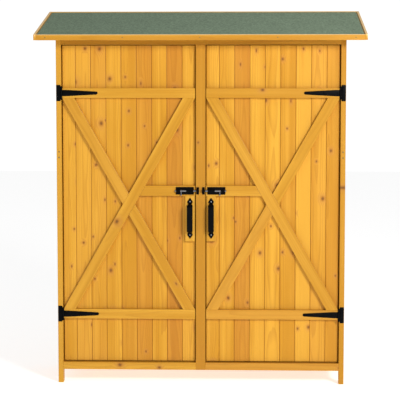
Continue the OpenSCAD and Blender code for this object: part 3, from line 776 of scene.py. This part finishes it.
class STORE_OT_roof(Step, bpy.types.Operator):
    """Deck, batten, trims and felt of the roof"""
    bl_idname = "garden_store.roof"
    bl_label = "Roof"

    def build(self):
        timber, ease = self.timber, self.timber.ease
        # The fascias and the side trims get a painted highlight along their upper edges.
        for node in ("front_fascia", "rear_fascia"):
            make_piece(node, "stained_trim", bar(node, X, ease, cut=True, worn=True))
        make_piece("side_trims", "stained_trim", self.side_trims)
        make_piece("roof_batten", "plain_inside", bar("roof_batten", X, ease, lean=True))
        make_piece("roof_deck_boards", "plain_inside",
                   lambda heap: planks(heap, "roof_deck_boards", timber.deck_planks, timber.plank_gap,
                                       ease / 2, lean=True))
        make_piece("roofing_felt", "roof_felt", self.felt, 40)

    def side_trims(self, heap):
        """One thin trim on each side, standing a little above the felt."""
        lo, hi = box("side_trims")
        inner_x = box("front_fascia")[0][X]
        for heap.side in SIDES.values():
            # Its upper face gets the painted highlight.
            plank(heap, lo, (inner_x, hi[Y], hi[Z]), Y, self.timber.ease, lean=True, worn=True)

    def felt(self, heap):
        """A sheet on the slope whose surface sinks in slow waves: the sum of three products of sines,
        given as half waves from left to right, half waves from front to back and depth in millimetres.
        Its edges roll down over the last few millimetres and stop short of the side trims."""
        clear, roll, drop = 3 * MM, 5 * MM, 0.8
        waves = ((7, 2, 0.22), (17, 3, 0.12), (31, 5, 0.06))
        u, v = np.meshgrid(np.linspace(0, 1, 181), np.linspace(0, 1, 61))
        x = FELT_LO[X] + clear + u * (FELT_HI[X] - FELT_LO[X] - 2 * clear)
        y = FELT_LO[Y] + v * (FELT_HI[Y] - FELT_LO[Y])
        surface = FELT_HI[Z] - SLOPE * (FELT_HI[Y] - y)
        sunk = np.zeros_like(x)
        for waves_x, waves_y, deep in waves:
            turn = heap.random.uniform(0, 2 * math.pi, 2)
            swell = np.sin(waves_x * u * math.pi + turn[0]) * np.sin(waves_y * v * math.pi + turn[1])
            sunk += deep * (1 + swell)
        margin = np.minimum(x - x.min(), x.max() - x)
        fall = np.clip(1 - margin / roll, 0, 1) ** 2 * drop
        top = np.stack([x, y, surface - (sunk + fall) * MM], -1)
        bottom = np.stack([x, y, surface - FELT_T], -1)
        heap.add(*between(top, bottom))


class STORE_OT_doors(Step, bpy.types.Operator):
    """Boards, ledges, braces and handle blocks of both doors"""
    bl_idname = "garden_store.doors"
    bl_label = "Doors"

    def build(self):
        ease = self.timber.ease
        make_pair("door_boards", "stained_boards", self.boards)
        for ledge in ("door_top_ledge", "door_bottom_ledge"):
            make_pair(ledge, "stained_trim", bar("left_" + ledge, X, ease))
        make_pair("handle_block", "stained_trim", bar("left_handle_block", Z, ease))
        lo, hi = box("left_door_top_ledge")
        for node, pieces in self.brace_outlines().items():
            make_pair(node, "stained_trim",
                      lambda heap: [flat_timber(heap, outline, lo[Y], hi[Y], ease, angle)
                                    for outline, angle in pieces])

    def boards(self, heap):
        """Full boards between two narrower ones that share what is left of the door's width. Their ends
        are sawn a little short of the door's opening."""
        timber = self.timber
        lo, hi = box("left_door_boards")
        spare = (hi[X] - lo[X] + timber.joint - timber.full_boards * timber.board) / 2
        widths = [spare] + [timber.board] * timber.full_boards + [spare]
        board_row(heap, widths, hi[Y] - lo[Y], timber.vee, timber.joint, np.array([lo[X], lo[Y], 0]), RIGHT,
                  BACK, lo[Z] + timber.trim, lambda y: np.full_like(y, hi[Z] - timber.trim))

    def brace_outlines(self):
        """Outlines of the braces and the middle ledge, in X and Z, each with the direction of its grain.
        The outer edge of each diagonal passes through two corners of the field between the ledges, and
        the pieces that meet the long brace stay a little clear of it."""
        low, high = box("left_door_bottom_ledge"), box("left_door_top_ledge")
        z0, z1 = low[1][Z], high[0][Z]
        x0, x1 = low[0][X], low[1][X]
        centre = ((x0 + x1) / 2, (z0 + z1) / 2)
        rise, run = z1 - z0, x1 - x0
        angle = math.atan2(rise, run) + math.asin(self.timber.brace / math.hypot(rise, run))
        half = self.timber.brace / 2
        clear = half + 0.2 * MM
        floor, ceiling = line((0, z0), 0), line((0, z1), 0)
        rising = {offset: line(centre, angle, offset) for offset in (-clear, -half, half, clear)}
        falling = [line(centre, -angle, offset) for offset in (-half, half)]

        def diagonal(edges, start, end):
            """Four corners: along the start, and back along the end."""
            return [meet(edges[0], start), meet(edges[1], start), meet(edges[1], end), meet(edges[0], end)]

        long_brace = [meet(rising[-half], floor), meet(rising[-half], ceiling), meet(rising[half], ceiling),
                      meet(rising[half], floor)]
        ledge_lo, ledge_hi = box("left_door_middle_ledge")
        under, over = line((0, ledge_lo[Z]), 0), line((0, ledge_hi[Z]), 0)
        ledge = [meet(rising[-clear], under), (x1, ledge_lo[Z]),
                 (x1, ledge_hi[Z]), meet(rising[-clear], over)]
        return {"door_long_brace": [(long_brace, angle)],
                "door_short_braces": [(diagonal(falling, ceiling, rising[clear]), -angle),
                                      (diagonal(falling, floor, rising[-clear]), -angle)],
                "door_middle_ledge": [(ledge, 0.0)]}


class STORE_OT_inside(Step, bpy.types.Operator):
    """Floor, divider, shelves, cleats and door stops"""
    bl_idname = "garden_store.inside"
    bl_label = "Inside"

    def build(self):
        timber, thin = self.timber, self.timber.ease / 2
        make_piece("divider_panel", "plain_inside", bar("divider_panel", Z, thin, cut=True))
        make_piece("floor_boards", "plain_inside",
                   lambda heap: planks(heap, "floor_boards", timber.floor_planks, timber.plank_gap, thin))
        make_piece("shelves", "plain_inside", self.shelves)
        make_piece("shelf_cleats", "plain_inside", self.cleats)
        make_piece("door_stop_strips", "plain_inside", self.stops)

    def shelf_tops(self):
        """Heights of the three shelves: evenly spaced between the lowest and the highest."""
        lo, hi = box("shelves")
        return np.linspace(lo[Z] + self.timber.shelf_t, hi[Z], 3)

    def shelves(self, heap):
        """Each shelf is two boards, side by side."""
        lo, hi = box("shelves")
        middle, half_gap = (lo[Y] + hi[Y]) / 2, self.timber.plank_gap / 2
        for top in self.shelf_tops():
            for y0, y1 in ((lo[Y], middle - half_gap), (middle + half_gap, hi[Y])):
                plank(heap, (lo[X], y0, top - self.timber.shelf_t), (hi[X], y1, top), X, self.timber.ease / 2)

    def cleats(self, heap):
        """A cleat under both ends of each shelf."""
        lo, hi = box("shelf_cleats")
        wide = box("left_side_rails")[1][X] - lo[X]
        for top in self.shelf_tops():
            for x0 in (lo[X], hi[X] - wide):
                z1 = top - self.timber.shelf_t
                plank(heap, (x0, lo[Y], z1 - self.timber.cleat_h), (x0 + wide, hi[Y], z1), Y,
                      self.timber.ease)

    def stops(self, heap):
        """A strip behind the top of each door, a little clear of the divider."""
        lo, hi = box("door_stop_strips")
        inner_x = box("divider_panel")[0][X] - 0.3 * MM
        for heap.side in SIDES.values():
            plank(heap, lo, (inner_x, hi[Y], hi[Z]), X, self.timber.ease)


# Where screws sit: from the middle of their plate or rail, from the end of a plate, and from the pin
LEAF_SCREW = 23.5 * MM
PLATE_SCREW = 12 * MM
RAIL_SCREW = 12.5 * MM
SCREW_EDGE = 6 * MM
STRAP_SCREWS = (14 * MM, 72 * MM, 140 * MM)
SCREW_RISE = 1.2 * MM

# Half the height of a strap's knuckle, and the gap to the leaf's knuckles
KNUCKLE_END = 13.5 * MM
KNUCKLE_GAP = 0.3 * MM


class STORE_OT_hinges(Step, bpy.types.Operator):
    """Leaves, straps and pins of the four hinges"""
    bl_idname = "garden_store.hinges"
    bl_label = "Hinges"

    def build(self):
        make_piece("hinge_leaves", "satin_black", lambda heap: self.both(heap, self.leaf), 35)
        make_piece("hinge_pins", "satin_black", lambda heap: self.both(heap, self.pin), 35)
        make_pair("hinge_straps", "satin_black",
                  lambda heap: [self.strap(heap, z) for z in hinge_heights()], 35)

    def both(self, heap, draw):
        """Draws a part of each hinge on both sides."""
        for heap.side in SIDES.values():
            for z in hinge_heights():
                draw(heap, z)

    def knuckle(self, heap, z, low, high):
        """A rolled tube round the pin."""
        bored(heap, (*pin_place(), z), Z, low, high, self.metal.knuckle,
              self.metal.pin + 0.06 * MM, 0.35 * MM)

    def leaf(self, heap, z):
        """A plate on the post with a tab and a knuckle above and below the strap's knuckle."""
        x, y = pin_place()
        thick = self.metal.plate
        face = y + self.metal.knuckle - thick
        clear = x - self.metal.knuckle - KNUCKLE_GAP
        reach = 2 * KNUCKLE_END
        slim = 0.05 * MM
        low, high = z - self.metal.leaf_h / 2, z + self.metal.leaf_h / 2
        plate(heap, rounded((box("hinge_leaves")[0][X], low), (clear, high), 3 * MM, 4), face, face + thick,
              0.45 * MM)
        for low, high in ((-reach, -KNUCKLE_END - KNUCKLE_GAP), (KNUCKLE_END + KNUCKLE_GAP, reach)):
            tab = [(clear - MM, z + low), (x - MM, z + low), (x - MM, z + high), (clear - MM, z + high)]
            plate(heap, tab, face + slim, face + thick - slim, 0.2 * MM)
            self.knuckle(heap, z, low, high)

    def strap(self, heap, z):
        """A long tapering plate with a round tip, and its knuckle. Beyond the parallel stretch at the pin
        its half height falls in a straight line to the tip's radius."""
        x, y = pin_place()
        face = y + self.metal.knuckle - self.metal.plate
        half, tip_r = self.metal.strap_h / 2, self.metal.tip
        near, far = x + 1.5 * MM, x + 20 * MM
        turn = np.linspace(-math.pi / 2, math.pi / 2, 13)
        tip = np.stack([x + self.metal.strap - tip_r + tip_r * np.cos(turn), z + tip_r * np.sin(turn)], 1)
        heel = np.array([(near, z + half), (near, z - half), (far, z - half)])
        outline = np.concatenate([heel, tip, [(far, z + half)]])
        plate(heap, outline, face, face + self.metal.plate, 0.5 * MM)
        self.knuckle(heap, z, -half, half)

    def pin(self, heap, z):
        """A plain pin with a domed head at both ends."""
        reach, head, rise = 2 * KNUCKLE_END + 0.05 * MM, 3.3 * MM, 2.4 * MM
        turn = np.linspace(0.12, math.pi / 2, 6)
        dome_z = reach + rise * np.cos(turn) ** 1.4
        dome_r = head * np.sin(turn)
        stations = np.concatenate([-dome_z, [-reach, reach], dome_z[::-1]])
        radii = np.concatenate([dome_r, [self.metal.pin] * 2, dome_r[::-1]])
        turned(heap, (*pin_place(), z), Z, stations, radii)


class STORE_OT_bolts(Step, bpy.types.Operator):
    """Plates, rods, levers and keepers of the two bolts"""
    bl_idname = "garden_store.bolts"
    bl_label = "Bolts"

    def build(self):
        make_pair("bolt_plate", "satin_black", self.plate, 35)
        make_pair("bolt_rod", "bright_zinc", self.rod, 35)
        make_pair("bolt_lever", "bright_zinc", self.lever, 35)
        make_piece("bolt_keepers", "satin_black", self.keepers, 35)

    def guide(self, heap, x0, x1):
        """A bored arch over the rod."""
        y, z = bolt_place()
        arch = self.metal.rod + 2.5 * MM
        outer = squircle(arch, arch, box("left_bolt_plate")[1][Y] - self.metal.plate - y, 2.3, 9)
        bored(heap, (0, y, z), X, x0, x1, outer, self.metal.rod + 0.1 * MM, 0.35 * MM)

    def plate(self, heap):
        """A flat plate with two guides, whose gap is where the lever slides."""
        lo, hi = box("left_bolt_plate")
        collar_lo, collar_hi = box("left_bolt_lever")
        edge, clear = 2 * MM, 0.75 * MM
        plate(heap, rounded(lo[[X, Z]], hi[[X, Z]], 2 * MM, 4), hi[Y] - self.metal.plate, hi[Y], 0.5 * MM)
        travel = joint_named("left_bolt_slide")["range_m"][1]
        self.guide(heap, lo[X] + edge, collar_lo[X] - clear)
        self.guide(heap, collar_hi[X] + travel + clear, hi[X] - edge)

    def rod(self, heap):
        """A round rod with a neck for the lever's collar, a domed tail and a bevelled tip."""
        lo, hi = box("left_bolt_rod")
        collar_lo, collar_hi = box("left_bolt_lever")
        rod, bevel = self.metal.rod, 1.2 * MM
        neck, neck_lo, neck_hi = rod - MM, collar_lo[X] - 0.05 * MM, collar_hi[X] + 0.05 * MM
        stations = [lo[X], lo[X] + bevel, neck_lo, neck_lo, neck_hi, neck_hi, hi[X] - bevel,
                    hi[X] - bevel * 0.3, hi[X]]
        radii = [rod - bevel, rod, rod, neck, neck, rod, rod, rod - bevel * 0.6, rod - bevel * 1.3]
        turned(heap, (0, *bolt_place()), X, stations, radii, 40)

    def lever(self, heap):
        """A collar round the rod's neck, and a stem that swells into a round knob."""
        y, z = bolt_place()
        lo, hi = box("left_bolt_lever")
        knob, rod = 3.2 * MM, self.metal.rod
        middle = (lo[X] + hi[X]) / 2
        collar = rod + 0.6 * MM
        half = collar - knob + 1.4 * MM
        bored(heap, (middle, y, z), X, -half, half, collar, rod - 0.9 * MM, 0.3 * MM)
        turn = np.linspace(0.08, math.pi - 0.62, 12)
        centre = lo[Z] + knob - z
        stations = np.concatenate([centre - knob * np.cos(turn), [centre + knob + 1.5 * MM, -rod]])
        radii = np.concatenate([knob * np.sin(turn), [1.7 * MM, 1.8 * MM]])
        turned(heap, (middle, y, z), Z, stations, radii, 28)

    def keepers(self, heap):
        """A staple on a small plate, on each side of the centre post's middle."""
        y, z = bolt_place()
        lo, hi = box("bolt_keepers")
        x0, x1 = lo[X], lo[X] + 2 * SCREW_EDGE
        rear = hi[Y] - self.metal.plate
        outer = squircle(self.metal.rod + 2.7 * MM, y - lo[Y], rear - y, 3.2, 9)
        for heap.side in SIDES.values():
            plate(heap, rounded((x0, lo[Z]), (x1, hi[Z]), 2 * MM, 4), rear, hi[Y], 0.5 * MM)
            bored(heap, (0, y, z), X, x0, x1, outer, self.metal.rod + 0.6 * MM, 0.5 * MM)


class STORE_OT_handles(Step, bpy.types.Operator):
    """The two pull handles"""
    bl_idname = "garden_store.handles"
    bl_label = "Pull Handles"

    def build(self):
        make_pair("handle", "satin_black", self.handle, 50)

    def handle(self, heap):
        """A forged pull. Its centre runs up the block, leaves it at the necks and comes back: height and
        stand-off are smooth functions of the way along. Each ring is a rounded rectangle,
        |a|^n + |b|^n = 1, square to the path, whose half width and half thickness follow the way too."""
        lo, hi = box("left_handle")
        middle = (lo + hi) / 2
        face = hi[Y]
        half = (hi[Z] - lo[Z]) / 2
        # The way from the middle of the grip to the tip, and at each place: the height, the stand-off, the
        # half width, the half thickness in millimetres and the power n
        shape = np.array([
            (0.000, 0.000, 1.000, 1.00, 3.0, 6.5), (0.300, 0.360, 1.000, 1.00, 3.0, 6.5),
            (0.480, 0.545, 0.985, 1.00, 2.9, 6.5), (0.570, 0.610, 0.860, 1.00, 2.6, 6.5),
            (0.630, 0.645, 0.600, 0.93, 2.4, 5.0), (0.690, 0.685, 0.300, 0.66, 2.2, 4.0),
            (0.745, 0.735, 0.075, 0.72, 1.9, 4.5), (0.800, 0.800, 0.000, 1.00, 1.5, 6.0),
            (0.860, 0.865, 0.000, 0.74, 1.5, 6.0), (0.930, 0.935, 0.000, 0.42, 1.4, 5.0),
            (1.000, 1.000, 0.000, 0.06, 0.8, 4.0)])
        way = np.linspace(-1, 1, 145)
        rise, out, wide, thick, power = [np.interp(np.abs(way), shape[:, 0], row) for row in shape[:, 1:].T]

        window = 9
        padded = np.concatenate([np.full(window // 2, out[0]), out, np.full(window // 2, out[-1])])
        smooth = np.convolve(padded, np.ones(window) / window, "valid")
        z = np.sign(way) * rise * half
        y = -(1.5 * MM + smooth * (self.metal.stand_off - 4.5 * MM))
        slope_y, slope_z = np.gradient(y), np.gradient(z)
        size = np.hypot(slope_y, slope_z)
        normal_y, normal_z = slope_z / size, -slope_y / size
        angle = np.arange(32) * 2 * math.pi / 32
        a, b = [np.sign(wave) * np.abs(wave) ** (2 / power[:, None])
                for wave in (np.cos(angle), np.sin(angle))]
        deep = thick[:, None] * MM * b
        rings = np.stack([middle[X] + (wide * self.metal.grip)[:, None] * a,
                          np.minimum(face + y[:, None] + deep * normal_y[:, None], face),
                          middle[Z] + z[:, None] + deep * normal_z[:, None]], -1)
        heap.add(rings, skin(rings))


class STORE_OT_fasteners(Step, bpy.types.Operator):
    """Screws of the hardware and the frame, and the nails of the roof"""
    bl_idname = "garden_store.fasteners"
    bl_label = "Screws and Nails"

    def build(self):
        make_piece("frame_screws", "satin_black", self.frame_screws, 50)
        make_piece("rail_screws", "dull_zinc", self.rail_screws, 50)
        make_piece("roof_nails", "dull_zinc", self.nails, 50)
        make_pair("door_screws", "satin_black", self.door_screws, 50)
        make_pair("handle_screws", "bright_zinc", self.handle_screws, 50)

    def screws(self, heap, places, face):
        """A head with a stub of its shank at each X and Z."""
        for x, z in places:
            screw_head(heap, x, face, z, self.metal.screw, SCREW_RISE)
            turned(heap, (x, face, z), Y, [0.2 * MM, 14 * MM, 16 * MM], [1.6 * MM, 1.6 * MM, 0.3 * MM], 16)

    def frame_screws(self, heap):
        """Two screws in each hinge leaf and two in each keeper."""
        keeper_lo, keeper_hi = box("bolt_keepers")
        post_lo, post_hi = box("front_left_post")
        leaf_x = (post_lo[X] + post_hi[X]) / 2
        middle = (keeper_lo[Z] + keeper_hi[Z]) / 2
        places = [(leaf_x, z + step) for z in hinge_heights() for step in (-LEAF_SCREW, LEAF_SCREW)]
        places += [(keeper_lo[X] + SCREW_EDGE, middle + step) for step in (-PLATE_SCREW, PLATE_SCREW)]
        for heap.side in SIDES.values():
            self.screws(heap, places, post_lo[Y] - self.metal.plate)

    def rail_screws(self, heap):
        """Two screws through each front post into its middle side rail."""
        post_lo, post_hi = box("front_left_post")
        x = (post_lo[X] + post_hi[X]) / 2
        middle = self.timber.rail_z + self.timber.rail_h / 2
        for heap.side in SIDES.values():
            self.screws(heap, [(x, middle - RAIL_SCREW), (x, middle + RAIL_SCREW)], post_lo[Y])

    def door_screws(self, heap):
        """Three screws in each strap and four in the bolt's plate."""
        lo, hi = box("left_bolt_plate")
        middle = (lo[Z] + hi[Z]) / 2
        places = [(pin_place()[0] + step, z) for z in hinge_heights() for step in STRAP_SCREWS]
        places += [(edge, middle + step) for edge in (lo[X] + SCREW_EDGE, hi[X] - SCREW_EDGE)
                   for step in (-PLATE_SCREW, PLATE_SCREW)]
        self.screws(heap, places, hi[Y] - self.metal.plate)

    def handle_screws(self, heap):
        """One screw in each end plate of the handle."""
        lo, hi = box("left_handle_screws")
        x = (lo[X] + hi[X]) / 2
        places = [(x, lo[Z] + self.metal.screw), (x, hi[Z] - self.metal.screw)]
        self.screws(heap, places, lo[Y] + SCREW_RISE)

    def nails(self, heap):
        """Flat heads along the front and the rear fascia: a rounded disc, and a shank half as wide."""
        lo, hi = box("roof_nails")
        radii = np.array([0.1, 0.6, 0.93, 1.0, 1.0, 0.5, 0.5, 0.1]) * self.metal.nail
        stations = np.array([-0.8, -0.75, -0.55, -0.2, 0.05, 0.1, 22, 24]) * MM
        for y, z, inward in ((box("front_fascia")[0][Y], lo[Z] + self.metal.nail, 1),
                             (box("rear_fascia")[1][Y], hi[Z] - self.metal.nail, -1)):
            for step in range(-2, 3):
                turned(heap, (step * self.metal.nail_pitch, y, z), Y, stations * inward, radii, 24)


class STORE_OT_stage(Step, bpy.types.Operator):
    """Floor, camera and soft light"""
    bl_idname = "garden_store.stage"
    bl_label = "Stage"

    def build(self):
        scene = bpy.context.scene
        stage = scene.store_stage
        self.floor()
        self.camera(scene, stage)
        self.area("key_light", (2.75, -4.5, 2.75), (0.0, 0.0, 0.85), 1.1, stage.key)
        self.area("fill_light", (-3.6, -4.2, 1.6), (0.0, 0.0, 0.8), 2.6, stage.fill)
        self.sky(scene, stage)
        scene.view_settings.view_transform = "Standard"

    def floor(self):
        """A wide level sheet."""
        u, v = np.meshgrid(np.linspace(-14, 14, 29), np.linspace(-14, 14, 29))
        top = np.stack([u, v, np.zeros_like(u)], -1)
        heap = Heap("floor")
        heap.add(*between(top, top - [0, 0, 0.02]))
        heap.build("floor", pale_floor("pale_floor"), 30)

    def camera(self, scene, stage):
        """A camera that looks along +Y, tilted down and turned to the left."""
        data = bpy.data.cameras.new("camera")
        data.lens, data.sensor_width = stage.lens, 36.0
        camera = bpy.data.objects.new("camera", data)
        camera.location = stage.place
        camera.rotation_euler = (math.pi / 2 - stage.pitch, 0.0, stage.yaw)
        scene.collection.objects.link(camera)
        scene.camera = camera

    def area(self, name, place, target, size, power):
        """A square light at a place, facing a target."""
        data = bpy.data.lights.new(name, "AREA")
        data.size, data.energy = size, power
        light = bpy.data.objects.new(name, data)
        light.location = place
        aim = np.array(target) - np.array(place)
        flat = math.hypot(aim[X], aim[Y])
        light.rotation_euler = (math.pi / 2 - math.atan2(-aim[Z], flat), 0.0, math.atan2(-aim[X], aim[Y]))
        bpy.context.scene.collection.objects.link(light)

    def sky(self, scene, stage):
        """White behind the store, and a softer white light on it."""
        world = bpy.data.worlds.new("white_room")
        world.use_nodes = True
        nodes, links = world.node_tree.nodes, world.node_tree.links
        nodes.clear()
        path = nodes.new("ShaderNodeLightPath")
        glow = nodes.new("ShaderNodeBackground")
        strength = nodes.new("ShaderNodeMix")
        glow.inputs["Color"].default_value = (1.0, 1.0, 1.0, 1.0)
        strength.inputs["A"].default_value = stage.sky
        strength.inputs["B"].default_value = 1.05
        links.new(path.outputs["Is Camera Ray"], strength.inputs["Factor"])
        links.new(strength.outputs["Result"], glow.inputs["Strength"])
        links.new(glow.outputs["Background"], nodes.new("ShaderNodeOutputWorld").inputs["Surface"])
        scene.world = world


OPERATORS = [STORE_OT_stage, STORE_OT_frame, STORE_OT_cladding, STORE_OT_roof, STORE_OT_doors,
             STORE_OT_inside, STORE_OT_hinges, STORE_OT_bolts, STORE_OT_handles, STORE_OT_fasteners]


class STORE_PT_panel(bpy.types.Panel):
    """Lists the store's steps and sizes"""
    bl_idname = "STORE_PT_panel"
    bl_label = "Garden Store"
    bl_space_type = "VIEW_3D"
    bl_region_type = "UI"
    bl_category = "Garden Store"

    def draw(self, context):
        for operator in OPERATORS:
            self.layout.operator(operator.bl_idname)
        for group, kind in GROUPS.items():
            column = self.layout.column(align=True)
            column.label(text=kind.__doc__)
            for key in kind.__annotations__:
                column.prop(getattr(context.scene, group), key, text=key.replace("_", " ").capitalize())


def register():
    for kind in [*GROUPS.values(), *OPERATORS, STORE_PT_panel]:
        bpy.utils.register_class(kind)
    for group, kind in GROUPS.items():
        setattr(bpy.types.Scene, group, bpy.props.PointerProperty(type=kind))


def unregister():
    for group in GROUPS:
        delattr(bpy.types.Scene, group)
    for kind in reversed([*GROUPS.values(), *OPERATORS, STORE_PT_panel]):
        bpy.utils.unregister_class(kind)


def main():
    register()
    for operator in OPERATORS:
        getattr(bpy.ops.garden_store, operator.bl_idname.split(".")[1])()


if __name__ == "__main__":
    main()
